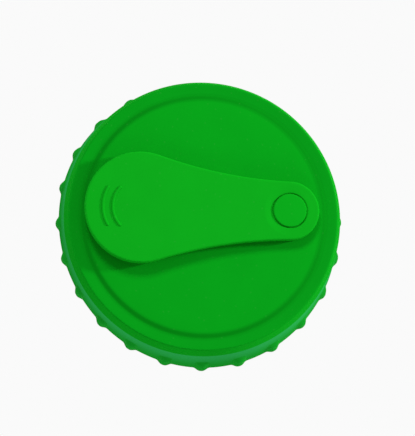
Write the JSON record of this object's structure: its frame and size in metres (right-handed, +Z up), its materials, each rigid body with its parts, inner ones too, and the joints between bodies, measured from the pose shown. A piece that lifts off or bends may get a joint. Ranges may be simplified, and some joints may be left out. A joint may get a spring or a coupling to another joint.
{
  "type": "wasp guard can lid",
  "caption": "Soft push-on lid for a drinks can, with a teardrop cover that swivels on a stud over the drinking hole to keep wasps out.",
  "frame": {"origin": "centre of the skirt's flat foot, on the axis of the can", "axes": "+Z up along the can's axis, +X from the centre to the pivot of the cover, and the cover's wide end towards -X"},
  "size_m": [0.0624, 0.0624, 0.0151],
  "materials": {
    "lid_silicone": "moulded silicone, satin top and glossy skirt",
    "cover_silicone": "moulded silicone, fine satin",
    "stud_silicone": "moulded silicone, fine satin"
  },
  "bodies": {
    "lid": {"lid_shell": "lid_silicone", "pivot_stud": "stud_silicone"},
    "cover": {"swivel_cover": "cover_silicone"}
  },
  "joints": [
    {"name": "cover_swivel", "type": "hinge", "parent": "lid", "child": "cover", "pos_m": [0.018, 0, 0.012], "axis": [0, 0, 1], "continuous": true}
  ]
}
